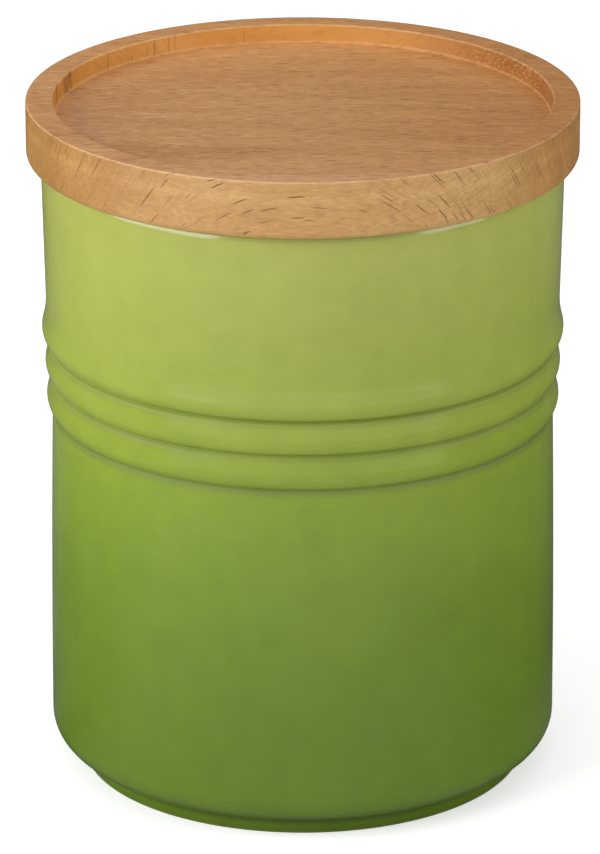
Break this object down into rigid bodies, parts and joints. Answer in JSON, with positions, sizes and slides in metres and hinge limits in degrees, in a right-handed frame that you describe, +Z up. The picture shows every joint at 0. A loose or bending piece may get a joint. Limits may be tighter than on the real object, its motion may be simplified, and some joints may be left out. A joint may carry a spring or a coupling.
{
  "type": "storage canister",
  "caption": "Round ribbed stoneware jar in a shaded green glaze, with an overhanging wooden lid that has a recessed top and a lipped silicone seal, for keeping dry food.",
  "frame": {"origin": "centre of the jar's foot, on the plane that it stands on", "axes": "+Z up along the axis of the jar and its lid; the part is round, so X and Y are alike, and the lid's wood grain runs along X at rest"},
  "size_m": [0.152, 0.152, 0.1928],
  "materials": {
    "green_glaze": "gloss glaze, yellow-green at the top shading to deep green at the foot",
    "beech": "oiled satin",
    "silicone": "satin, milky"
  },
  "bodies": {
    "jar": {"stoneware_jar": "green_glaze"},
    "seal": {"silicone_seal": "silicone"},
    "lid": {"beech_lid": "beech"}
  },
  "joints": [
    {"name": "lid_lift", "type": "slide", "parent": "jar", "child": "seal", "axis": [0, 0, 1], "range_m": [0, 0.09]},
    {"name": "lid_turn", "type": "hinge", "parent": "seal", "child": "lid", "pos_m": [0, 0, 0.17065], "axis": [0, 0, 1], "continuous": true}
  ]
}
